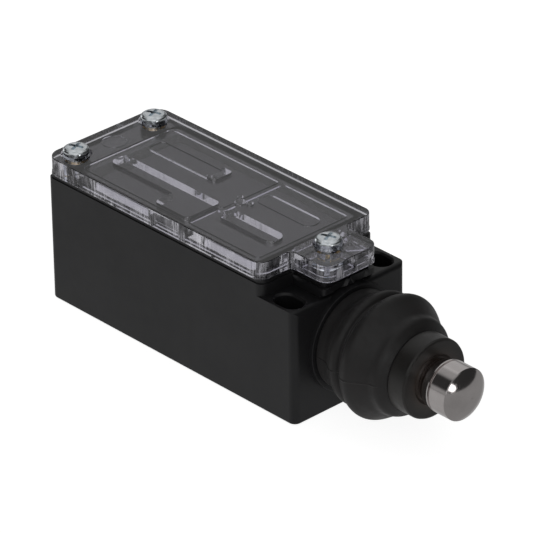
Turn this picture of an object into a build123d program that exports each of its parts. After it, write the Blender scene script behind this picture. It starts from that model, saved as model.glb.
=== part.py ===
# Plunger limit switch: plastic housing with a clear lid, a rubber-booted steel plunger and a
# double-break contact block inside.
#
# Drawing datum used below: X = 0 on the rear wall's outer face, Y = 0 on the centre plane,
# Z = 0 on the back (mounting) face. +X is the direction the plunger points, +Z is the lid side.
# Every part is shifted by -HOLE_X when it is written, so the part's own origin is the point
# midway between the two fixing slots, on the mounting face.
from build123d import *
import math
import os

os.makedirs("parts", exist_ok=True)

# ------------------------------------------------------------------ driving dimensions (mm)
BODY_L = 90.9          # housing length, rear wall to front face
BODY_W = 38.0          # housing width
BODY_H = 36.1          # mounting face to lid joint
BODY_R = 2.0           # vertical corner radius
EAR_Z = 31.46          # top face of the two fixing ears
EAR_X = 79.6           # where the ears start
PLAT_Y = 8.7           # half width of the raised platform between the ears
PLAT_X = 90.9          # front of that platform
LIP_H = 1.25           # recessed band just under the lid
LIP_IN = 0.30
NECK_H = 2.0           # deeper band under the lid's tongue
NECK_IN = 0.95

HOLE_X = 85.1          # fixing slots: X of their centres
HOLE_Y = 15.0          # half of the 30 mm spacing
SLOT_R = 2.65          # half width of the 5.3 mm slot
SLOT_S = 1.40          # half distance between the slot's end arcs
SLOT_CH = 0.50         # chamfer at the slot's top rim

AXIS_Z = 18.05         # plunger and conduit axis height
TRAVEL = 6.0           # plunger stroke

CAV_X0, CAV_X1 = 11.5, 74.0
CAV_Y = 15.4
FLOOR = 3.0

BOSS_R = 14.25         # round boss on the front face, under the boot
BOSS_L = 1.5
ENTRY_R = 12.1         # conduit entry spout on the rear face
ENTRY_L = 7.9
THREAD_R = 9.2         # M20 x 1.5 female thread, drawn at its crest radius

LID_T = 4.8            # lid height
LID_SEAT = 0.03        # the lid rides this far above the joint, on its gasket
LID_BEAD = 0.55        # height of the fine bead round the lid's foot
LID_BEAD_IN = 0.10     # how far the wall above the bead is set back
LID_SKIN = 2.0         # thickness of its roof
LID_OVER = 0.33        # lid overhang over the housing walls
LID_X1 = 79.7          # front of the wide part
TONGUE_Y = 9.05        # half width of the lid's tongue
TONGUE_X = 92.15       # front of the tongue
LID_TOP = BODY_H + LID_T
LID_ROOF = LID_TOP - LID_SKIN

SCREW_REAR = (4.86, 13.14)   # rear lid screws
SCREW_FRONT = 83.4           # tongue screw
HEAD_R = 3.45
HEAD_H = 2.9
HEAD_RIM = 1.75              # straight side of the head, under its dome
SINK_R = 4.0                 # shallow sink the head sits in
SINK_D = 0.7
INSERT_R = 2.9
INSERT_L = 7.0

STEM_R = 5.40
GUIDE_GAP = 0.05
BUSH_R = 8.5
BUSH_X0, BUSH_X1 = 70.0, 106.0
SPRING_BORE = 7.0
SHOULDER_X = 90.0
CAP_R = 6.92
CAP_X0, CAP_X1 = 124.0, 130.4
DOME_R = 10.5

COLLAR_R = 10.5        # end collar of the boot
COLLAR_X0, COLLAR_X1 = 114.6, 120.2
BOOT_T = 1.3

BLOCK_X0, BLOCK_X1 = 30.0, 69.0
BLOCK_Y = 14.6
BLOCK_Z0, BLOCK_Z1 = 6.0, 25.0
TUB_Y = 10.8

names = []


def at(x, y, z):
    return Location((x, y, z))


def box(x0, x1, y0, y1, z0, z1):
    return at((x0 + x1) / 2, (y0 + y1) / 2, (z0 + z1) / 2) * Box(x1 - x0, y1 - y0, z1 - z0)


def vcyl(x, y, z0, z1, r):
    """Cylinder standing along Z."""
    return at(x, y, (z0 + z1) / 2) * Cylinder(r, z1 - z0)


def xcyl(x0, x1, r, y=0.0, z=AXIS_Z):
    """Cylinder lying along X."""
    return at((x0 + x1) / 2, y, z) * Rot(0, 90, 0) * Cylinder(r, x1 - x0)


def turned(profile, smooth=None):
    """Solid of revolution about the plunger axis from (x, r) points."""
    pts = [(x, 0, AXIS_Z + r) for x, r in profile]
    wire = Polyline(*pts, close=True)
    face = make_face(wire)
    return revolve(face, Axis((0, 0, AXIS_Z), (1, 0, 0)), 360)


def plan(points_sketch, z0, z1):
    return extrude(Pos(0, 0, z0) * points_sketch, amount=z1 - z0)


def rect_plan(x0, x1, y0, y1, r=0.0):
    s = Pos((x0 + x1) / 2, (y0 + y1) / 2) * (
        RectangleRounded(x1 - x0, y1 - y0, r) if r > 0 else Rectangle(x1 - x0, y1 - y0)
    )
    return s


def slot_plan(x, y, r, s):
    return Pos(x, y) * SlotCenterToCenter(2 * s, 2 * r)


def coil(x0, x1, mean_r, wire_r, turns, y=0.0, z=AXIS_Z):
    """Compression spring along X between the two seats, its end coils just inside them."""
    a, b = x0 + wire_r, x1 - wire_r
    path = Helix(pitch=(b - a) / turns, height=b - a, radius=mean_r)
    start = path @ 0
    prof = Plane(origin=start, z_dir=path % 0) * Circle(wire_r)
    body = sweep(prof, path=path, is_frenet=True)
    return Location((a, y, z)) * Rot(0, 90, 0) * body


def write(node, shape):
    """One STEP file for each node; a group of like pieces is a compound of separate solids."""
    solids = []
    for s in shape if isinstance(shape, (list, tuple)) else [shape]:
        solids += [q.moved(at(-HOLE_X, 0, 0)) for q in s.solids()]
    out = solids[0] if len(solids) == 1 else Compound(children=solids)
    out.label = node
    export_step(out, f"parts/{node}.step")
    names.append(node)
    vol = sum(q.volume for q in solids)
    print(f"{node:22s} solids {len(solids):2d}  volume {vol:10.2f} mm3")


def edges_at(shape, test):
    return [e for e in shape.edges() if test(e)]


# ------------------------------------------------------------------ housing
base = plan(rect_plan(0, BODY_L, -BODY_W / 2, BODY_W / 2, BODY_R), 0, EAR_Z)
wide = rect_plan(0, EAR_X, -BODY_W / 2, BODY_W / 2, BODY_R)
tab = rect_plan(EAR_X - 12, PLAT_X, -PLAT_Y, PLAT_Y, 1.1)
upper = plan(wide + tab, EAR_Z, BODY_H - LIP_H)
wide_in = rect_plan(LIP_IN, EAR_X - LIP_IN, -BODY_W / 2 + LIP_IN, BODY_W / 2 - LIP_IN, BODY_R)
tab_in = rect_plan(EAR_X - 12, PLAT_X - NECK_IN, -PLAT_Y + NECK_IN, PLAT_Y - NECK_IN, 1.0)
band = plan(wide_in + tab_in, BODY_H - LIP_H - 0.01, BODY_H)
shell = base + upper
# small radius round the mounting face
shell = fillet(
    edges_at(shell, lambda e: abs(e.center().Z) < 1e-3 and e.bounding_box().size.Z < 1e-3), 0.5
)
# soft front edge of both ears
EAR_R = 1.3
corner = box(BODY_L - EAR_R, BODY_L + 1, -BODY_W, BODY_W, EAR_Z - EAR_R, EAR_Z + 1)
corner = corner - Location((BODY_L - EAR_R, 0, EAR_Z - EAR_R)) * Rot(90, 0, 0) * Cylinder(
    EAR_R, 2 * BODY_W
)
shell = shell - corner
# the platform stops lower than the rest of the rim
shell = shell - box(EAR_X, PLAT_X + 1, -PLAT_Y - 1, PLAT_Y + 1, BODY_H - NECK_H, BODY_H)
shell = shell + plan(tab_in & rect_plan(EAR_X - 2, PLAT_X, -PLAT_Y, PLAT_Y), BODY_H - NECK_H - 0.01, BODY_H)
shell = shell + band
# finger scoops with sloped rims in the platform's front and sides
for s in (1, -1):
    shell = shell - Location((PLAT_X + 0.01, s * 3.4, 35.1)) * Rot(0, -90, 0) * Cone(
        3.45, 2.80, 0.6, align=(Align.CENTER, Align.CENTER, Align.MIN)
    )
    shell = shell - Location((82.2, s * (PLAT_Y + 0.01), 37.1)) * Rot(s * 90, 0, 0) * Cone(
        3.95, 3.30, 0.6, align=(Align.CENTER, Align.CENTER, Align.MIN)
    )
# front boss and conduit spout
boss = xcyl(BODY_L - 1, BODY_L + BOSS_L, BOSS_R)
boss = fillet(edges_at(boss, lambda e: abs(e.center().X - BODY_L - BOSS_L) < 1e-3), 0.16)
spout = xcyl(-ENTRY_L, 1, ENTRY_R)
spout = chamfer(edges_at(spout, lambda e: abs(e.center().X + ENTRY_L) < 1e-3), 0.9)
shell = shell + boss + spout
# hollow inside
cavity = plan(rect_plan(CAV_X0, CAV_X1, -CAV_Y, CAV_Y, 2.0), FLOOR, BODY_H + 1)
rear_pocket = box(4.0, CAV_X0 + 1, -11.5, 11.5, 6.5, 27.8)
shell = shell - cavity - rear_pocket
shell = shell - xcyl(-ENTRY_L - 1, 5, THREAD_R)
# chamfer that leads a gland's thread in
lead = Location((-ENTRY_L, 0, AXIS_Z)) * Rot(0, 90, 0) * Cone(
    THREAD_R + 1.0, THREAD_R, 1.0, align=(Align.CENTER, Align.CENTER, Align.MIN)
)
shell = shell - lead
# bush hole through the front wall
shell = shell - xcyl(CAV_X1 - 1, BODY_L + BOSS_L + 1, BUSH_R)
# posts and rails that carry the contact block
POSTS = [(49.5, 12.4), (49.5, -12.4)]
for x, y in POSTS:
    shell = shell + vcyl(x, y, FLOOR - 0.5, BLOCK_Z0, 2.8)
for x in (32.0, 66.5):
    shell = shell + box(x - 1.0, x + 1.0, -13.0, 13.0, FLOOR - 0.5, BLOCK_Z0)
for x, y in POSTS:
    shell = shell - vcyl(x, y, 1.2, BLOCK_Z0 + 1, 1.25)
# fixing slots
for s in (1, -1):
    shell = shell - plan(slot_plan(HOLE_X, s * HOLE_Y, SLOT_R, SLOT_S), -1, EAR_Z + 1)
    flare = loft(
        [
            Pos(0, 0, EAR_Z - SLOT_CH) * slot_plan(HOLE_X, s * HOLE_Y, SLOT_R, SLOT_S),
            Pos(0, 0, EAR_Z) * slot_plan(HOLE_X, s * HOLE_Y, SLOT_R + SLOT_CH, SLOT_S),
        ]
    )
    shell = shell - flare
# holes for the threaded inserts under the lid screws
LID_SCREWS = [
    (SCREW_REAR[0], SCREW_REAR[1]),
    (SCREW_REAR[0], -SCREW_REAR[1]),
    (SCREW_FRONT, 0.0),
]
for x, y in LID_SCREWS:
    shell = shell - vcyl(x, y, BODY_H - INSERT_L - 0.8, BODY_H + 1, INSERT_R)
# groove for the lid gasket
gasket_plan = rect_plan(8.7, 77.0, -17.9, 17.9, 2.4) - rect_plan(10.1, 75.6, -16.5, 16.5, 1.2)
shell = shell - plan(gasket_plan, BODY_H - 1.0, BODY_H + 1)
write("housing", shell)
write("lid_gasket", plan(gasket_plan, BODY_H - 1.0, BODY_H + LID_SEAT))

# ------------------------------------------------------------------ clear lid
LID_Y = BODY_W / 2 + LID_OVER
LID_Z0 = BODY_H + LID_SEAT


def lid_outline(d):
    """The lid's plan, set in by d."""
    rear = rect_plan(-LID_OVER + d, 40, -LID_Y + d, LID_Y - d, 4.3 - d)
    front = rect_plan(20, LID_X1 - d, -LID_Y + d, LID_Y - d, 3.1 - d)
    tongue = rect_plan(LID_X1 - 14, TONGUE_X - d, -TONGUE_Y + d, TONGUE_Y - d, 3.3 - d)
    whole = rear + front + tongue
    inner = [
        v
        for v in whole.vertices()
        if abs(abs(v.Y) - TONGUE_Y + d) < 1e-3 and abs(v.X - LID_X1 + d) < 1e-3
    ]
    return fillet(inner, 1.6 + d)


lid = plan(lid_outline(LID_BEAD_IN), LID_Z0 + LID_BEAD, LID_TOP)
lid = fillet(edges_at(lid, lambda e: abs(e.center().Z - LID_TOP) < 1e-3), 0.22)
foot = plan(lid_outline(0), LID_Z0, LID_Z0 + LID_BEAD)
foot = fillet(
    edges_at(foot, lambda e: abs(e.center().Z - LID_Z0) < 1e-3 and e.bounding_box().size.Z < 1e-3),
    0.12,
)
lid = foot + lid
# moulded relief under the roof: a shallow step, then blind channels up to the roof
STEP_TOP = BODY_H + 0.7
rear_step = (
    rect_plan(9.6, 48.2, -15.3, 15.3, 1.2)
    + rect_plan(30, 49.8, -4.4, 15.3, 1.0)
)
CH0, CH1 = 3.7, 8.9
island = rect_plan(12.9, 36.4, CH0, CH1, 1.4)       # solid rib left standing in the step
relief = plan(rear_step - island, BODY_H - 1, STEP_TOP)
front_step = rect_plan(49.4, 74.6, -15.3, -5.6, 1.2) + rect_plan(51.0, 74.6, -6.8, 15.3, 1.2)
relief += plan(front_step + rect_plan(54.0, 74.6, -15.3, 15.3, 1.2), BODY_H - 1, STEP_TOP)
# deep channels on one side
relief += plan(rect_plan(12.9, 48.6, -CH1, -CH0, 1.5), BODY_H - 1, LID_ROOF)
relief += plan(rect_plan(36.4, 48.6, -15.0, -CH0, 1.3), BODY_H - 1, LID_ROOF)
relief += plan(rect_plan(52.6, 72.4, -CH1, -CH0, 2.3), BODY_H - 1, LID_ROOF)
# on the other, a slot at the rib's end and a shallow pad
end_slot = rect_plan(35.2, 38.8, CH0 - 0.6, CH1 + 0.6, 1.0) - rect_plan(30, 36.4, CH0, CH1, 1.2)
relief += plan(end_slot, BODY_H - 1, LID_ROOF)
relief += plan(rect_plan(52.6, 72.4, CH0, CH1, 2.3), BODY_H - 1, BODY_H + 1.25)
# gate marks where the ribs cross
for gx, gy, gr, gz in ((51.0, 0.6, 1.5, 1.5), (53.6, 1.6, 0.9, 2.1), (49.4, 2.2, 0.8, 1.9)):
    relief += vcyl(gx, gy, BODY_H - 1, BODY_H + gz, gr)
# the tongue is cored round its screw boss, with ribs from the boss to the wall
core = rect_plan(77.9, TONGUE_X - 1.35, -TONGUE_Y + 1.35, TONGUE_Y - 1.35, 2.0)
core = core - Pos(SCREW_FRONT, 0) * Circle(4.15)
for ang in (-46, 9, -97, 52, 97, 180):
    core = core - Pos(SCREW_FRONT, 0) * Rot(0, 0, ang) * Pos(6, 0) * Rectangle(12, 1.1)
relief += plan(core, BODY_H - 1, LID_ROOF)
relief += plan(
    rect_plan(77.4, TONGUE_X - 0.75, -TONGUE_Y + 0.75, TONGUE_Y - 0.75, 2.5), BODY_H - 1, BODY_H + 1.3
)
# round pad mark between the rear screws
relief += vcyl(4.35, 0, BODY_H - 1, BODY_H + 0.35, 3.3)
lid = lid - relief
for x, y in LID_SCREWS:
    lid = lid - vcyl(x, y, BODY_H - 1, LID_TOP + 1, 2.25)
    lid = lid - vcyl(x, y, LID_TOP - SINK_D, LID_TOP + 1, SINK_R)
write("clear_lid", lid)


# ------------------------------------------------------------------ lid screws and inserts
def pan_screw(x, y, seat_z, head_r, head_h, shank_r, length, recess_l, recess_w, recess_d, rim=None):
    """Pan-head machine screw with a cross recess, its thread drawn as a plain shank."""
    rim = head_h * 0.42 if rim is None else rim
    prof = [(0, 0), (head_r, 0), (head_r, rim)]
    for i in range(1, 7):
        a = i / 6 * math.pi / 2
        prof.append((head_r * (0.30 + 0.70 * math.cos(a)), rim + (head_h - rim) * math.sin(a)))
    prof.append((0, head_h))
    face = make_face(Polyline(*[(px, 0, pz) for px, pz in prof], close=True))
    head = revolve(face, Axis.Z, 360)
    for ang in (22, 112):
        tip = Pos(0, 0, head_h - recess_d) * Rot(0, 0, ang) * Rectangle(recess_l * 0.80, recess_w * 0.9)
        top = Pos(0, 0, head_h + 0.2) * Rot(0, 0, ang) * Rectangle(recess_l, recess_w)
        head = head - loft([tip, top])
    shank = vcyl(0, 0, -length, 0.2, shank_r)
    shank = chamfer(edges_at(shank, lambda e: abs(e.center().Z + length) < 1e-3), min(0.5, shank_r / 3))
    return at(x, y, seat_z) * (head + shank)


write(
    "lid_screws",
    [
        pan_screw(x, y, LID_TOP - SINK_D, HEAD_R, HEAD_H, 1.95, 9.6, 4.3, 0.95, 1.25, HEAD_RIM)
        for x, y in LID_SCREWS
    ],
)
write(
    "lid_screw_inserts",
    [
        vcyl(x, y, BODY_H - INSERT_L, BODY_H - 0.02, INSERT_R)
        - vcyl(x, y, BODY_H - INSERT_L - 1, BODY_H + 1, 2.0)
        for x, y in LID_SCREWS
    ],
)

# ------------------------------------------------------------------ plunger head
bush = turned(
    [
        (BUSH_X0, SPRING_BORE),
        (BUSH_X0, BUSH_R),
        (93.8, BUSH_R),
        (93.8, 11.2),
        (95.8, 11.2),
        (95.8, 9.2),
        (BUSH_X1 - 0.8, 9.2),
        (BUSH_X1, 8.4),
        (BUSH_X1, STEM_R + GUIDE_GAP + 0.4),
        (BUSH_X1 - 0.4, STEM_R + GUIDE_GAP),
        (103.6, STEM_R + GUIDE_GAP),
        (103.6, 6.9),
        (101.6, 6.9),
        (101.6, STEM_R + GUIDE_GAP),
        (SHOULDER_X, STEM_R + GUIDE_GAP),
        (SHOULDER_X, SPRING_BORE),
        (72.25, SPRING_BORE),
        (72.25, 7.5),
        (71.2, 7.5),
        (71.2, SPRING_BORE),
    ]
)
write("guide_bush", bush)
hexnut = Location((BUSH_X0 + 2.0, 0, AXIS_Z)) * Rot(0, 90, 0) * extrude(
    RegularPolygon(12.4, 6), amount=2.0, both=True
)
hexnut = hexnut - xcyl(BUSH_X0 - 1, BUSH_X0 + 5, BUSH_R)
write("bush_nut", hexnut)
# stem seal: an O-ring in the bush's groove
ring = Location((102.6, 0, AXIS_Z)) * Rot(0, 90, 0) * Torus(6.16, 0.70)
write("stem_seal", ring)

dome_base = CAP_R - 0.22
dome = []
sag0 = DOME_R - math.sqrt(DOME_R**2 - dome_base**2)
for i in range(0, 13):
    r = dome_base * (1 - i / 12)
    dome.append((CAP_X1 + sag0 - (DOME_R - math.sqrt(DOME_R**2 - r * r)), r))
# the dome is one arc, so the nose is a true sphere
TIP_X = CAP_X1 + sag0
lower = [
    (64.05, 0),
    (64.05, 2.6),
    (64.45, 3.0),
    (87.4, 3.0),
    (87.4, 6.7),
    (89.9, 6.7),
    (89.9, STEM_R),
    (COLLAR_X1 + 0.05, STEM_R),
    (121.2, 5.98),
    (122.2, 6.42),
    (123.2, 6.68),
    (CAP_X0, 6.80),
    (CAP_X0 + 0.15, 6.88),
    (CAP_X0 + 0.50, 6.88),
    (CAP_X0 + 0.62, 6.50),
    (CAP_X0 + 1.05, 6.50),
    (CAP_X0 + 1.20, CAP_R),
    (CAP_X1 - 0.22, CAP_R),
    (CAP_X1, dome_base),
]
pts3 = [(x, 0, AXIS_Z + r) for x, r in lower]
outline = Polyline(*pts3)
mid = dome[6]
arc = ThreePointArc(pts3[-1], (mid[0], 0, AXIS_Z + mid[1]), (TIP_X, 0, AXIS_Z))
axis_line = Line((TIP_X, 0, AXIS_Z), pts3[0])
plunger = revolve(make_face(Curve() + [outline, arc, axis_line]), Axis((0, 0, AXIS_Z), (1, 0, 0)), 360)
write("plunger", plunger)

write("plunger_spring", coil(73.75, 87.35, 5.9, 0.5, 6.0))
write("spring_washer", xcyl(72.25, 73.7, 6.9) - xcyl(70, 76, 3.06))
clip = xcyl(71.25, 72.2, 7.45) - xcyl(70, 76, 6.1) - box(70, 76, -1.4, 1.4, AXIS_Z + 4, AXIS_Z + 9)
write("retaining_ring", clip)

collar = turned(
    [
        (COLLAR_X0, STEM_R),
        (COLLAR_X0, COLLAR_R - 0.2),
        (COLLAR_X0 + 0.2, COLLAR_R),
        (COLLAR_X1 - 0.6, COLLAR_R),
        (COLLAR_X1 - 0.18, COLLAR_R - 0.18),
        (COLLAR_X1, COLLAR_R - 0.6),
        (COLLAR_X1, 6.6),
        (COLLAR_X1 - 0.55, 5.9),
        (COLLAR_X1 - 0.55, STEM_R),
    ]
)
write("boot_collar", collar)

# rubber boot: outer line from the front boss to the collar, (x, r)
BOOT = [
    (92.4, 13.1),
    (94.9, 13.1),
    (96.1, 13.35),
    (97.1, 13.85),
    (98.2, 14.55),
    (99.2, 15.05),
    (100.1, 15.15),
    (100.9, 14.75),
    (101.7, 14.1),
    (102.6, 15.0),
    (103.7, 15.95),
    (105.0, 16.36),
    (106.1, 16.15),
    (107.7, 15.15),
    (109.3, 14.10),
    (110.6, 13.25),
    (111.5, 13.0),
    (112.3, 12.83),
    (113.0, 12.40),
    (113.7, 11.4),
    (114.2, 10.7),
    (114.5, 10.2),
]
inner_line = []
for i, (x, r) in enumerate(BOOT):
    a = BOOT[max(i - 1, 0)]
    b = BOOT[min(i + 1, len(BOOT) - 1)]
    t = math.hypot(b[0] - a[0], b[1] - a[1])
    nx, nr = (b[1] - a[1]) / t, -(b[0] - a[0]) / t
    inner_line.append((x + BOOT_T * nx * 0.6, r + BOOT_T * nr))
inner_line = [(x, r) for x, r in inner_line if 94.0 < x < 113.0]
profile = (
    [(92.45, 8.75), (92.45, 13.1)]
    + BOOT[1:]
    + [(114.5, STEM_R + 0.25), (113.3, STEM_R + 0.25), (113.3, 10.0)]
    + [p for p in reversed(inner_line)]
    + [(93.75, 11.75), (93.75, 8.75)]
)
clean = [profile[0]]
for p in profile[1:]:
    if math.hypot(p[0] - clean[-1][0], p[1] - clean[-1][1]) > 0.05:
        clean.append(p)
boot = turned(clean)
write("rubber_boot", boot)

# ------------------------------------------------------------------ contact block
PLATE_NC = 59.65       # rear face of the closed pair's upright plates
PLATE_NO = 38.05       # rear face of the open pair's upright plates
PLATE_T = 0.8
RIVET_Y = 7.8
block = box(BLOCK_X0, BLOCK_X1, -BLOCK_Y, BLOCK_Y, BLOCK_Z0, BLOCK_Z1)
block = fillet(block.edges().filter_by(Axis.Z), 1.0)
block = block - box(PLATE_NO, PLATE_NC + PLATE_T, -TUB_Y, TUB_Y, 12.5, BLOCK_Z1 + 1)
block = block - box(BLOCK_X0 + 2.0, PLATE_NO + 1, -3.0, 3.0, 14.8, BLOCK_Z1 + 1)
block = block - box(PLATE_NC, BLOCK_X1 + 1, -3.75, 3.75, 14.3, BLOCK_Z1 + 1)
for x, y in POSTS:
    block = block - vcyl(x, y, 0, 40, 1.4)
    block = block - vcyl(x, y, BLOCK_Z1 - 2.6, 40, 2.4)
TERMINALS = [(34.3, 8.6), (34.3, -8.6), (64.9, 8.6), (64.9, -8.6)]
for x, y in TERMINALS:
    block = block - vcyl(x, y, 16.0, 40, 1.8)
write("contact_block", block)

CAR_Z0, CAR_Z1 = 14.6, 21.5
CAR_X0, CAR_X1 = 44.5, 64.0
carriage = box(CAR_X0, CAR_X1, -3.4, 3.4, CAR_Z0, CAR_Z1)
carriage = carriage - box(46.5, 51.0, -5, 5, 15.6, 20.5)
carriage = carriage - box(53.4, 58.0, -5, 5, 15.6, 20.5)
carriage = carriage + xcyl(CAR_X0 - 2.6, CAR_X0 + 0.5, 1.5)
write("contact_carriage", carriage)


def bridge(x_plate, x_side):
    """Double-break bridge: a strip across Y with a contact rivet at each end."""
    b = box(x_plate, x_plate + 1.0, -9.7, 9.7, 16.2, 19.9)
    for y in (RIVET_Y, -RIVET_Y):
        if x_side > 0:
            b = b + xcyl(x_plate + 0.9, x_plate + 1.8, 1.5, y)
        else:
            b = b + xcyl(x_plate - 0.8, x_plate + 0.1, 1.5, y)
    return b


write("closed_contact_bridge", bridge(57.0, 1))
write("open_contact_bridge", bridge(46.5, -1))
write("closed_bridge_spring", coil(53.42, 56.98, 1.75, 0.2, 4.0))
write("open_bridge_spring", coil(47.52, 50.98, 1.75, 0.2, 4.0))


def fixed_contact(s, x_plate, x_side):
    """Upright plate with a rivet, bent over at the top into a terminal strip."""
    y0, y1 = sorted((s * 5.2, s * 10.4))
    up = box(x_plate, x_plate + PLATE_T, y0, y1, 14.5, BLOCK_Z1 + 0.9)
    t0, t1 = sorted((s * 4.6, s * 12.6))
    if x_side > 0:
        strip = box(x_plate, BLOCK_X1 - 0.3, t0, t1, BLOCK_Z1, BLOCK_Z1 + 0.9)
        rivet = xcyl(x_plate - 0.80, x_plate + 0.2, 1.5, s * RIVET_Y)
        hole = (64.9, s * 8.6)
    else:
        strip = box(BLOCK_X0 + 0.3, x_plate + PLATE_T, t0, t1, BLOCK_Z1, BLOCK_Z1 + 0.9)
        rivet = xcyl(x_plate + PLATE_T - 0.2, x_plate + PLATE_T + 0.80, 1.5, s * RIVET_Y)
        hole = (34.3, s * 8.6)
    return up + strip + rivet - vcyl(hole[0], hole[1], 20, 40, 1.8)


write("closed_fixed_contacts", [fixed_contact(s, PLATE_NC, 1) for s in (1, -1)])
write("open_fixed_contacts", [fixed_contact(s, PLATE_NO, -1) for s in (1, -1)])
CLAMP_Z = BLOCK_Z1 + 0.9
write(
    "terminal_clamps",
    [
        fillet(
            box(x - 3.4, x + 3.4, y - 3.3, y + 3.3, CLAMP_Z + 0.02, CLAMP_Z + 1.1).edges().filter_by(Axis.Z),
            0.8,
        )
        - vcyl(x, y, 20, 40, 1.85)
        for x, y in TERMINALS
    ],
)
write(
    "terminal_screws",
    [
        pan_screw(x, y, CLAMP_Z + 1.12, 2.9, 1.9, 1.72, 7.5, 3.6, 0.8, 1.0)
        for x, y in TERMINALS
    ],
)
write("carriage_spring", coil(32.05, 44.45, 2.2, 0.25, 7.0))
block_lid = box(39.6, 59.0, -BLOCK_Y + 0.2, BLOCK_Y - 0.2, BLOCK_Z1 + 0.02, BLOCK_Z1 + 1.8)
for x, y in POSTS:
    block_lid = block_lid - vcyl(x, y, 20, 40, 2.4)
write("contact_block_lid", block_lid)
write(
    "block_screws",
    [
        pan_screw(x, y, BLOCK_Z1 - 2.6, 2.2, 1.5, 1.2, 19.8, 2.6, 0.6, 0.8)
        for x, y in POSTS
    ],
)
shield = plan(rect_plan(13.0, 72.4, -14.9, 14.9, 1.6), 33.3, 34.1)
for x in (31.4, 67.4):
    for y in (13.7, -13.7):
        shield = shield + box(x - 1.0, x + 1.0, y - 0.6, y + 0.6, BLOCK_Z1 + 0.02, 33.5)
write("terminal_shield", shield)

print(len(names), "nodes;", "plunger tip at X =", round(TIP_X - HOLE_X, 3))
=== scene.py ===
import math
import bpy
import bmesh
from mathutils import Matrix, Vector


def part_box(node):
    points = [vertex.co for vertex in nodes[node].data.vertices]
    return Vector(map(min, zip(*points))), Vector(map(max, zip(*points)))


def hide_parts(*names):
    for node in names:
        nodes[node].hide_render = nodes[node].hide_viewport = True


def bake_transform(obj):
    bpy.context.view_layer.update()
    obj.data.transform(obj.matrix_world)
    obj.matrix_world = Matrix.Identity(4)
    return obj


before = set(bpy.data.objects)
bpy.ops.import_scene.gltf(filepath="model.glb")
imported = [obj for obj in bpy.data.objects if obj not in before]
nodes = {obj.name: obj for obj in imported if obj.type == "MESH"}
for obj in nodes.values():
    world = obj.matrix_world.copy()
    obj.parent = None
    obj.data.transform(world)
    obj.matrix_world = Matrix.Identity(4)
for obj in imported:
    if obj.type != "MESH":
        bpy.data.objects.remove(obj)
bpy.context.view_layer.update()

scene = bpy.context.scene
MM = 0.001

# ------------------------------------------------------------------ reference places
tip_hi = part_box("plunger")[1]
body_lo, body_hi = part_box("housing")
lid_lo, lid_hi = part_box("clear_lid")
boot_lo, boot_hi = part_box("rubber_boot")
col_lo, col_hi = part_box("boot_collar")
AXIS_Z = (boot_lo.z + boot_hi.z) / 2
RX = -85.1 * MM          # rear wall of the housing


# ------------------------------------------------------------------ material helpers
def new_mat(name):
    m = bpy.data.materials.new(name)
    m.use_nodes = True
    nt = m.node_tree
    bsdf = nt.nodes["Principled BSDF"]
    return m, nt, bsdf


def tex_coord(nt):
    return nt.nodes.new("ShaderNodeTexCoord").outputs["Object"]


def noise(nt, vec, scale, detail=4.0, rough=0.5):
    n = nt.nodes.new("ShaderNodeTexNoise")
    n.inputs["Scale"].default_value = scale
    n.inputs["Detail"].default_value = detail
    n.inputs["Roughness"].default_value = rough
    nt.links.new(vec, n.inputs["Vector"])
    return n.outputs["Fac"]


def ramp(nt, fac, stops):
    r = nt.nodes.new("ShaderNodeValToRGB")
    e = r.color_ramp.elements
    while len(e) > 1:
        e.remove(e[-1])
    e[0].position, e[0].color = stops[0][0], (*stops[0][1], 1)
    for p, c in stops[1:]:
        k = e.new(p)
        k.color = (*c, 1)
    nt.links.new(fac, r.inputs["Fac"])
    return r.outputs["Color"]


def grey(v):
    return (v, v, v)


def remap(nt, fac, a, b, lo, hi):
    m = nt.nodes.new("ShaderNodeMapRange")
    m.inputs["From Min"].default_value = a
    m.inputs["From Max"].default_value = b
    m.inputs["To Min"].default_value = lo
    m.inputs["To Max"].default_value = hi
    nt.links.new(fac, m.inputs["Value"])
    return m.outputs["Result"]


def bump(nt, bsdf, height, strength, distance, normal=None):
    b = nt.nodes.new("ShaderNodeBump")
    b.inputs["Strength"].default_value = strength
    b.inputs["Distance"].default_value = distance
    nt.links.new(height, b.inputs["Height"])
    if normal is not None:
        nt.links.new(normal, b.inputs["Normal"])
    nt.links.new(b.outputs["Normal"], bsdf.inputs["Normal"])
    return b.outputs["Normal"]


def math_node(nt, op, a, b=None):
    m = nt.nodes.new("ShaderNodeMath")
    m.operation = op
    for i, v in enumerate((a, b)):
        if v is None:
            continue
        if isinstance(v, (int, float)):
            m.inputs[i].default_value = v
        else:
            nt.links.new(v, m.inputs[i])
    return m.outputs[0]


def axis_radius(nt, vec, z0):
    """Distance from the plunger's axis."""
    s = nt.nodes.new("ShaderNodeSeparateXYZ")
    nt.links.new(vec, s.inputs[0])
    dz = math_node(nt, "SUBTRACT", s.outputs["Z"], z0)
    return math_node(
        nt, "SQRT",
        math_node(nt, "ADD", math_node(nt, "MULTIPLY", s.outputs["Y"], s.outputs["Y"]),
                  math_node(nt, "MULTIPLY", dz, dz)),
    ), s


def plastic(name, c0, c1, rough0, rough1, grain=9000.0, depth=0.00002, strength=0.25, ior=1.5, spec=0.5):
    """Moulded plastic: a fine grain, faint flow marks in colour and roughness."""
    m, nt, b = new_mat(name)
    v = tex_coord(nt)
    flow = noise(nt, v, 60.0, 3.0)
    fine = noise(nt, v, grain, 3.0, 0.6)
    nt.links.new(ramp(nt, flow, [(0.3, c0), (0.7, c1)]), b.inputs["Base Color"])
    nt.links.new(remap(nt, noise(nt, v, 260.0, 4.0), 0.3, 0.7, rough0, rough1), b.inputs["Roughness"])
    b.inputs["IOR"].default_value = ior
    b.inputs["Specular IOR Level"].default_value = spec
    bump(nt, b, fine, strength, depth)
    return m


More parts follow.
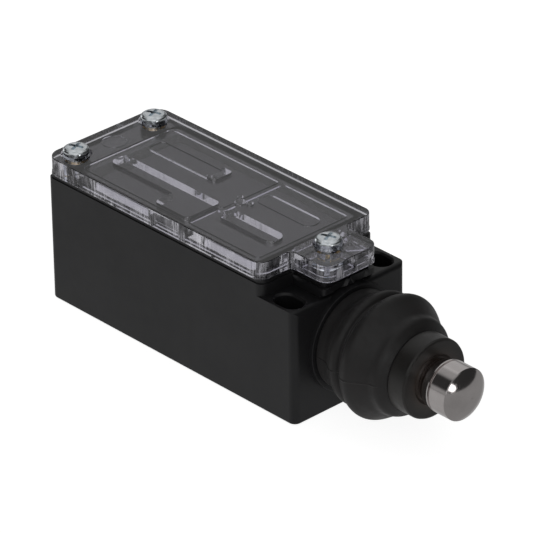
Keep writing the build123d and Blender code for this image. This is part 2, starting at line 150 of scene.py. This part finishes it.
def metal(name, c0, c1, rough0, rough1, streak=0.0, scale=900.0):
    m, nt, b = new_mat(name)
    v = tex_coord(nt)
    b.inputs["Metallic"].default_value = 1.0
    n = noise(nt, v, scale, 5.0, 0.6)
    nt.links.new(ramp(nt, n, [(0.3, c0), (0.7, c1)]), b.inputs["Base Color"])
    nt.links.new(remap(nt, noise(nt, v, scale * 0.4, 4.0), 0.3, 0.7, rough0, rough1), b.inputs["Roughness"])
    bump(nt, b, n, 0.12, 0.00001)
    return m


# ------------------------------------------------------------------ materials
mat_body = plastic("moulded_black", (0.0085, 0.0085, 0.0092), (0.0120, 0.0120, 0.0127), 0.30, 0.40, 7000.0, 0.000015, 0.30, spec=0.36)
mat_block = plastic("block_moulding", grey(0.050), grey(0.065), 0.42, 0.52)
mat_bush = plastic("bush_moulding", grey(0.045), grey(0.055), 0.35, 0.45)
mat_shield = plastic("shield_sheet", (0.060, 0.058, 0.063), (0.070, 0.068, 0.073), 0.55, 0.65, 5000.0)
mat_carriage = plastic("carriage_moulding", (0.50, 0.075, 0.04), (0.56, 0.09, 0.05), 0.35, 0.45)
mat_brass = metal("brass_turned", (0.62, 0.44, 0.18), (0.72, 0.53, 0.24), 0.22, 0.34)
mat_copper = metal("copper_alloy", (0.66, 0.42, 0.26), (0.75, 0.50, 0.32), 0.25, 0.38)
mat_spring = metal("spring_wire", grey(0.40), grey(0.50), 0.22, 0.34)

# zinc plate: slightly blue, mottled
mat_zinc, nt, b = new_mat("zinc_plate")
v = tex_coord(nt)
b.inputs["Metallic"].default_value = 1.0
n = noise(nt, v, 1400.0, 5.0, 0.65)
nt.links.new(ramp(nt, n, [(0.3, (0.74, 0.80, 0.84)), (0.7, (0.95, 0.98, 1.0))]), b.inputs["Base Color"])
nt.links.new(remap(nt, noise(nt, v, 700.0, 4.0), 0.3, 0.7, 0.12, 0.24), b.inputs["Roughness"])
bump(nt, b, n, 0.45, 0.00004)

# clear polycarbonate
mat_clear, nt, b = new_mat("clear_polycarbonate")
v = tex_coord(nt)
b.inputs["Transmission Weight"].default_value = 1.0
b.inputs["IOR"].default_value = 1.58
wave = noise(nt, v, 35.0, 2.0)
nt.links.new(ramp(nt, wave, [(0.35, (0.86, 0.85, 0.92)), (0.65, (0.90, 0.89, 0.95))]), b.inputs["Base Color"])
# the upright walls keep a slight haze and the drag lines of the mould's draw
sn = nt.nodes.new("ShaderNodeSeparateXYZ")
nt.links.new(nt.nodes.new("ShaderNodeTexCoord").outputs["Normal"], sn.inputs[0])
upright = remap(nt, math_node(nt, "ABSOLUTE", sn.outputs["Z"]), 0.15, 0.60, 1.0, 0.0)
stretch = nt.nodes.new("ShaderNodeMapping")
stretch.inputs["Scale"].default_value = (1.0, 1.0, 0.12)
nt.links.new(v, stretch.inputs["Vector"])
drag = noise(nt, stretch.outputs["Vector"], 1500.0, 4.0, 0.6)
patch = noise(nt, v, 160.0, 3.0)
haze = math_node(nt, "MULTIPLY", upright, remap(nt, drag, 0.42, 0.62, 0.10, 1.0))
haze = math_node(nt, "MULTIPLY", haze, remap(nt, patch, 0.40, 0.60, 0.12, 1.0))
so = nt.nodes.new("ShaderNodeSeparateXYZ")
nt.links.new(v, so.inputs[0])
# outer walls only: the relief's own walls stay polished
outside = math_node(nt, "MAXIMUM", remap(nt, math_node(nt, "ABSOLUTE", so.outputs["Y"]), 16.5 * MM, 17.5 * MM, 0.0, 1.0),
                    remap(nt, so.outputs["X"], RX + 75.5 * MM, RX + 77.0 * MM, 0.0, 1.0))
outside = math_node(nt, "MAXIMUM", outside, remap(nt, so.outputs["X"], RX + 2.0 * MM, RX + 1.0 * MM, 0.0, 1.0))
haze = math_node(nt, "MULTIPLY", haze, outside)
px = math_node(nt, "SUBTRACT", so.outputs["X"], RX + 4.35 * MM)
disc = math_node(nt, "SQRT", math_node(nt, "ADD", math_node(nt, "MULTIPLY", px, px),
                                      math_node(nt, "MULTIPLY", so.outputs["Y"], so.outputs["Y"])))
disc = remap(nt, disc, 3.05 * MM, 3.35 * MM, 0.16, 0.0)
low = remap(nt, so.outputs["Z"], lid_lo.z + 0.5 * MM, lid_lo.z + 0.9 * MM, 1.0, 0.0)
haze = math_node(nt, "ADD", haze, math_node(nt, "MULTIPLY", disc, low))
gloss = remap(nt, noise(nt, v, 400.0, 3.0), 0.3, 0.7, 0.015, 0.045)
nt.links.new(math_node(nt, "ADD", gloss, math_node(nt, "MULTIPLY", haze, 0.10)), b.inputs["Roughness"])
nt.links.new(math_node(nt, "SUBTRACT", 1.0, math_node(nt, "MULTIPLY", haze, 0.48)), b.inputs["Transmission Weight"])
relief = math_node(nt, "ADD", math_node(nt, "MULTIPLY", noise(nt, v, 110.0, 3.0), 1.0),
                   math_node(nt, "MULTIPLY", math_node(nt, "MULTIPLY", drag, upright), 0.45))
bump(nt, b, relief, 0.16, 0.0001)

# black rubber of the boot
mat_rubber, nt, b = new_mat("boot_rubber")
v = tex_coord(nt)
soft = noise(nt, v, 90.0, 4.0)
fine = noise(nt, v, 5200.0, 3.0, 0.7)
nt.links.new(ramp(nt, soft, [(0.3, (0.0085, 0.0078, 0.0078)), (0.7, (0.0125, 0.0114, 0.0114))]), b.inputs["Base Color"])
nt.links.new(remap(nt, noise(nt, v, 500.0, 4.0), 0.3, 0.7, 0.44, 0.58), b.inputs["Roughness"])
b.inputs["Specular IOR Level"].default_value = 0.44
b.inputs["Sheen Weight"].default_value = 0.03
bump(nt, b, fine, 0.35, 0.00002)

mat_gasket = plastic("gasket_rubber", grey(0.012), grey(0.018), 0.5, 0.65)

# glossy turned collar
mat_collar, nt, b = new_mat("collar_turned")
v = tex_coord(nt)
rad, sep = axis_radius(nt, v, AXIS_Z)
rings = nt.nodes.new("ShaderNodeTexNoise")
rings.noise_dimensions = "1D"
rings.inputs["Scale"].default_value = 7500.0
rings.inputs["Detail"].default_value = 2.0
nt.links.new(rad, rings.inputs["W"])
speck = noise(nt, v, 3800.0, 3.0, 0.7)
near = remap(nt, rad, 5.6 * MM, 9.6 * MM, 0.42, 0.0)
tone = math_node(nt, "ADD", math_node(nt, "MULTIPLY", noise(nt, v, 120.0, 3.0), 0.35),
                 math_node(nt, "MULTIPLY", near, remap(nt, speck, 0.35, 0.65, 0.6, 1.4)))
nt.links.new(ramp(nt, tone, [(0.10, (0.0095, 0.0088, 0.0082)), (0.30, (0.0160, 0.0142, 0.0128)),
                             (0.65, (0.0420, 0.0300, 0.0235))]), b.inputs["Base Color"])
nt.links.new(remap(nt, noise(nt, v, 600.0, 3.0), 0.3, 0.7, 0.30, 0.42), b.inputs["Roughness"])
b.inputs["Specular IOR Level"].default_value = 0.50
bump(nt, b, rings.outputs["Fac"], 0.22, 0.00002)

# polished, turned steel
mat_steel, nt, b = new_mat("polished_steel")
v = tex_coord(nt)
b.inputs["Metallic"].default_value = 1.0
rad, sep = axis_radius(nt, v, AXIS_Z)
turn = nt.nodes.new("ShaderNodeTexNoise")
turn.noise_dimensions = "1D"
turn.inputs["Scale"].default_value = 9000.0
turn.inputs["Detail"].default_value = 3.0
along = math_node(nt, "ADD", rad, math_node(nt, "MULTIPLY", sep.outputs["X"], 0.8))
nt.links.new(along, turn.inputs["W"])
nt.links.new(ramp(nt, noise(nt, v, 160.0, 4.0), [(0.3, (0.60, 0.565, 0.555)), (0.7, (0.70, 0.66, 0.65))]), b.inputs["Base Color"])
nt.links.new(remap(nt, turn.outputs["Fac"], 0.3, 0.7, 0.09, 0.17), b.inputs["Roughness"])
bump(nt, b, turn.outputs["Fac"], 0.20, 0.000006)

by_node = {
    "housing": mat_body, "lid_gasket": mat_gasket, "clear_lid": mat_clear, "lid_screws": mat_zinc,
    "lid_screw_inserts": mat_brass, "guide_bush": mat_bush, "bush_nut": mat_zinc, "stem_seal": mat_gasket,
    "plunger": mat_steel, "plunger_spring": mat_spring, "spring_washer": mat_zinc,
    "retaining_ring": mat_spring, "boot_collar": mat_collar, "contact_block": mat_block,
    "contact_carriage": mat_carriage, "closed_contact_bridge": mat_copper,
    "open_contact_bridge": mat_copper, "closed_bridge_spring": mat_spring,
    "open_bridge_spring": mat_spring, "closed_fixed_contacts": mat_copper,
    "open_fixed_contacts": mat_copper, "terminal_clamps": mat_zinc, "terminal_screws": mat_zinc,
    "carriage_spring": mat_spring, "contact_block_lid": mat_block, "block_screws": mat_zinc,
    "terminal_shield": mat_shield,
}
for name, mat in by_node.items():
    o = nodes[name]
    o.data.materials.clear()
    o.data.materials.append(mat)


# ------------------------------------------------------------------ lathed pieces
def smooth_profile(pts, step=0.25):
    """Catmull-Rom through the points; a point given twice stays a sharp corner."""
    runs, run = [], [pts[0]]
    for p in pts[1:]:
        if p == run[-1]:
            runs.append(run)
            run = [p]
        else:
            run.append(p)
    runs.append(run)
    out = []
    for run in runs:
        if len(run) < 2:
            continue
        ext = [(2 * run[0][0] - run[1][0], 2 * run[0][1] - run[1][1])] + run + [
            (2 * run[-1][0] - run[-2][0], 2 * run[-1][1] - run[-2][1])]
        for i in range(1, len(ext) - 2):
            p0, p1, p2, p3 = ext[i - 1], ext[i], ext[i + 1], ext[i + 2]
            n = max(1, int(math.dist(p1, p2) / step + 0.5))
            for k in range(n):
                t = k / n
                q = []
                for a in (0, 1):
                    q.append(0.5 * (2 * p1[a] + (p2[a] - p0[a]) * t
                                    + (2 * p0[a] - 5 * p1[a] + 4 * p2[a] - p3[a]) * t * t
                                    + (3 * p1[a] - p0[a] - 3 * p2[a] + p3[a]) * t ** 3))
                out.append(tuple(q))
        out.append(run[-1])
    clean = [out[0]]
    for p in out[1:]:
        if math.dist(p, clean[-1]) > 1e-4:
            clean.append(p)
    return clean


def lathe(name, pts, n=192, seam=0.0, seam_x=(0, 0)):
    """Closed ring profile (x from the rear wall, r), turned about the plunger axis, in mm.
    seam raises a narrow moulding line at both sides of the centre plane."""
    bm = bmesh.new()
    rings = []
    angles = [2 * math.pi * i / n for i in range(n)]
    if seam:
        extra = []
        for base in (0.0, math.pi):
            for d in (-0.030, -0.016, -0.007, 0.007, 0.016, 0.030):
                extra.append((base + d) % (2 * math.pi))
        angles = sorted(a for a in angles if all(
            abs((a - base + math.pi) % (2 * math.pi) - math.pi) > 0.033 for base in (0.0, math.pi)
        ))
        angles = sorted(angles + extra + [0.0, math.pi])
    for x, r, outer in pts:
        row = []
        for a in angles:
            rr = r
            if seam and outer and seam_x[0] <= x <= seam_x[1]:
                for base in (0.0, math.pi):
                    d = abs((a - base + math.pi) % (2 * math.pi) - math.pi)
                    rr += seam * max(0.0, 1 - (d / 0.013) ** 2)
            row.append(bm.verts.new((RX + x * MM, rr * MM * math.cos(a), AXIS_Z + rr * MM * math.sin(a))))
        rings.append(row)
    m = len(rings)
    for i in range(m):
        a, c = rings[i], rings[(i + 1) % m]
        for j in range(len(angles)):
            k = (j + 1) % len(angles)
            bm.faces.new((a[j], c[j], c[k], a[k]))
    bmesh.ops.recalc_face_normals(bm, faces=bm.faces)
    me = bpy.data.meshes.new(name)
    bm.to_mesh(me)
    bm.free()
    for p in me.polygons:
        p.use_smooth = True
    o = bpy.data.objects.new(name, me)
    scene.collection.objects.link(o)
    return o


BOOT = [
    (92.45, 12.95), (92.6, 13.1), (94.9, 13.1), (96.1, 13.35), (97.1, 13.85), (98.2, 14.60), (99.2, 15.08), (100.1, 15.15),
    (100.9, 14.72), (101.65, 14.02), (102.6, 14.98), (103.7, 15.95), (105.0, 16.36), (106.1, 16.15),
    (107.7, 15.15), (109.3, 14.10), (110.6, 13.28), (111.5, 13.0), (112.3, 12.83), (113.0, 12.40),
    (113.7, 11.4), (114.2, 10.7), (114.5, 10.2),
]
outer = smooth_profile(BOOT, 0.2)
inner = [(113.3, 9.4), (111.6, 11.2), (109.6, 12.3), (107.0, 13.7), (105.0, 14.75), (103.2, 13.9),
         (101.8, 12.6), (100.0, 13.55), (98.4, 13.1), (96.4, 12.0), (94.4, 11.8), (93.75, 11.75), (93.75, 8.8), (92.5, 8.8)]
prof = [(x, r, True) for x, r in outer] + [(114.5, 5.70, False), (113.3, 5.70, False)] + [
    (x, r, False) for x, r in inner]
boot = lathe("boot_skin", prof, 220, seam=0.18, seam_x=(93.0, 113.4))
boot.data.materials.append(mat_rubber)
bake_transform(boot)
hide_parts("rubber_boot")

# coil springs rebuilt as helical wire meshes between fixed ends
for node, child, x0, x1, mean, wire, turns in (
    ("plunger_spring", "plunger", 73.75, 87.35, 5.9, 0.5, 6.0),
    ("carriage_spring", "contact_carriage", 32.05, 44.45, 2.2, 0.25, 7.0),
):
    bm = bmesh.new()
    steps, sides = int(turns * 40), 12
    a, c = x0 + wire, x1 - wire
    pitch = (c - a) / turns
    slope = pitch / (2 * math.pi * mean)
    prev = None
    rows = []
    for i in range(steps + 1):
        t = i / steps
        ang = 2 * math.pi * turns * t
        ctr = Vector((a + (c - a) * t, mean * math.cos(ang), mean * math.sin(ang)))
        tan = Vector((slope, -math.sin(ang), math.cos(ang))).normalized()
        nor = Vector((0, math.cos(ang), math.sin(ang)))
        bi = tan.cross(nor)
        rows.append([bm.verts.new(Vector((RX, 0, AXIS_Z)) + MM * (ctr + wire * (
            math.cos(2 * math.pi * k / sides) * nor + math.sin(2 * math.pi * k / sides) * bi)))
            for k in range(sides)])
    for i in range(steps):
        for k in range(sides):
            q = (k + 1) % sides
            bm.faces.new((rows[i][k], rows[i + 1][k], rows[i + 1][q], rows[i][q]))
    bm.faces.new(rows[0])
    bm.faces.new(list(reversed(rows[-1])))
    bmesh.ops.recalc_face_normals(bm, faces=bm.faces)
    me = bpy.data.meshes.new(node + "_wire")
    bm.to_mesh(me)
    bm.free()
    for p in me.polygons:
        p.use_smooth = len(p.vertices) == 4
    o = bpy.data.objects.new(node + "_wire", me)
    scene.collection.objects.link(o)
    me.materials.append(mat_spring)
    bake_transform(o)
    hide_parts(node)

# ------------------------------------------------------------------ floor, light, camera
floor_me = bpy.data.meshes.new("studio_floor")
S = 6.0
floor_me.from_pydata([(-S, -S, -0.0002), (S, -S, -0.0002), (S, S, -0.0002), (-S, S, -0.0002)], [], [(0, 1, 2, 3)])
floor = bpy.data.objects.new("studio_floor", floor_me)
scene.collection.objects.link(floor)
mf, nt, b = new_mat("studio_white")
v = tex_coord(nt)
nt.links.new(ramp(nt, noise(nt, v, 2.0, 2.0), [(0.3, grey(0.44)), (0.7, grey(0.46))]), b.inputs["Base Color"])
nt.links.new(remap(nt, noise(nt, v, 30.0, 3.0), 0.3, 0.7, 0.85, 0.95), b.inputs["Roughness"])
b.inputs["Specular IOR Level"].default_value = 0.0
em = 0.90
b.inputs["Emission Color"].default_value = (1, 1, 1, 1)
b.inputs["Emission Strength"].default_value = em
floor_me.materials.append(mf)
# mirror and glass rays see the dim studio below the horizon in place of the white sweep
floor.visible_glossy = False
floor.visible_transmission = False


def area(name, loc, target, sx, sy, power, color=(1, 1, 1)):
    l = bpy.data.lights.new(name, "AREA")
    l.shape = "RECTANGLE"
    l.size, l.size_y = sx, sy
    l.energy = power
    l.color = color
    o = bpy.data.objects.new(name, l)
    o.location = loc
    d = (Vector(target) - Vector(loc)).normalized()
    o.rotation_euler = d.to_track_quat("-Z", "Y").to_euler()
    scene.collection.objects.link(o)
    return o


# soft studio: broad panels placed by azimuth and elevation, (az, el, core, edge, strength), degrees
PANELS = [
    (0, 90, 14, 40, 0.42),
    (0, 58, 10, 26, 0.28),
    (90, 58, 10, 26, 0.24),
    (180, 58, 10, 24, 0.30),
    (-45, 40, 12, 26, 0.56),
    (-90, 36, 14, 28, 0.52),
    (-48, 16, 10, 22, 0.45),
    (137, 30, 16, 34, 0.44),
    (180, 6, 7, 18, 0.85),
    (-132, 7, 3, 11, 0.30),
    (-14, 12, 4, 11, 4.00),
]
world = bpy.data.worlds.new("studio")
scene.world = world
world.use_nodes = True
wn = world.node_tree
bg = wn.nodes["Background"]
direction = wn.nodes.new("ShaderNodeTexCoord").outputs["Generated"]
total = None
for az, el, core, edge, power in PANELS:
    a, e = math.radians(az), math.radians(el)
    dot = wn.nodes.new("ShaderNodeVectorMath")
    dot.operation = "DOT_PRODUCT"
    dot.inputs[1].default_value = (math.cos(e) * math.cos(a), math.cos(e) * math.sin(a), math.sin(e))
    wn.links.new(direction, dot.inputs[0])
    m = wn.nodes.new("ShaderNodeMapRange")
    m.interpolation_type = "SMOOTHSTEP"
    m.inputs["From Min"].default_value = math.cos(math.radians(edge))
    m.inputs["From Max"].default_value = math.cos(math.radians(core))
    m.inputs["To Min"].default_value = 0.0
    m.inputs["To Max"].default_value = power
    wn.links.new(dot.outputs["Value"], m.inputs["Value"])
    total = m.outputs["Result"] if total is None else math_node(wn, "ADD", total, m.outputs["Result"])
sep = wn.nodes.new("ShaderNodeSeparateXYZ")
wn.links.new(direction, sep.inputs[0])
above = remap(wn, sep.outputs["Z"], -0.01, 0.03, 0.0, 1.0)
total = math_node(wn, "MULTIPLY", math_node(wn, "ADD", total, 0.03), above)
side = wn.nodes.new("ShaderNodeVectorMath")
side.operation = "DOT_PRODUCT"
side.inputs[1].default_value = (-0.642, -0.590, -0.489)
wn.links.new(direction, side.inputs[0])
glow = remap(wn, side.outputs["Value"], math.cos(math.radians(55)), math.cos(math.radians(20)), 0.27, 0.42)
back = wn.nodes.new("ShaderNodeVectorMath")
back.operation = "DOT_PRODUCT"
back.inputs[1].default_value = (-0.642, 0.590, -0.489)
wn.links.new(direction, back.inputs[0])
glow = math_node(wn, "ADD", glow, remap(wn, back.outputs["Value"], math.cos(math.radians(40)), math.cos(math.radians(14)), 0.0, 0.20))
below = math_node(wn, "MULTIPLY", math_node(wn, "SUBTRACT", 1.0, above), glow)
total = math_node(wn, "ADD", total, below)
# the camera itself sees a plain pale backdrop
path = wn.nodes.new("ShaderNodeLightPath").outputs["Is Camera Ray"]
seen = math_node(wn, "ADD", math_node(wn, "MULTIPLY", total, math_node(wn, "SUBTRACT", 1.0, path)), math_node(wn, "MULTIPLY", path, 0.97))
wn.links.new(seen, bg.inputs["Strength"])
bg.inputs["Color"].default_value = (1, 1, 1, 1)

cam_data = bpy.data.cameras.new("camera")
cam = bpy.data.objects.new("camera", cam_data)
scene.collection.objects.link(cam)
scene.camera = cam
cam_data.sensor_width = 36.0
cam_data.lens = 36.0 * 4708.0 / 533.0
cam_data.clip_start, cam_data.clip_end = 0.05, 60.0
right = Vector((0.68205, 0.73119, -0.01307)).normalized()
down = Vector((0.34971, -0.34179, -0.87229)).normalized()
fwd = Vector((-0.64227, 0.59037, -0.48882)).normalized()
cam.matrix_world = Matrix((
    (right.x, -down.x, -fwd.x, 0.7265),
    (right.y, -down.y, -fwd.y, -0.6900),
    (right.z, -down.z, -fwd.z, 0.5968),
    (0, 0, 0, 1),
))

scene.view_settings.view_transform = "Standard"
scene.view_settings.exposure = 0.0
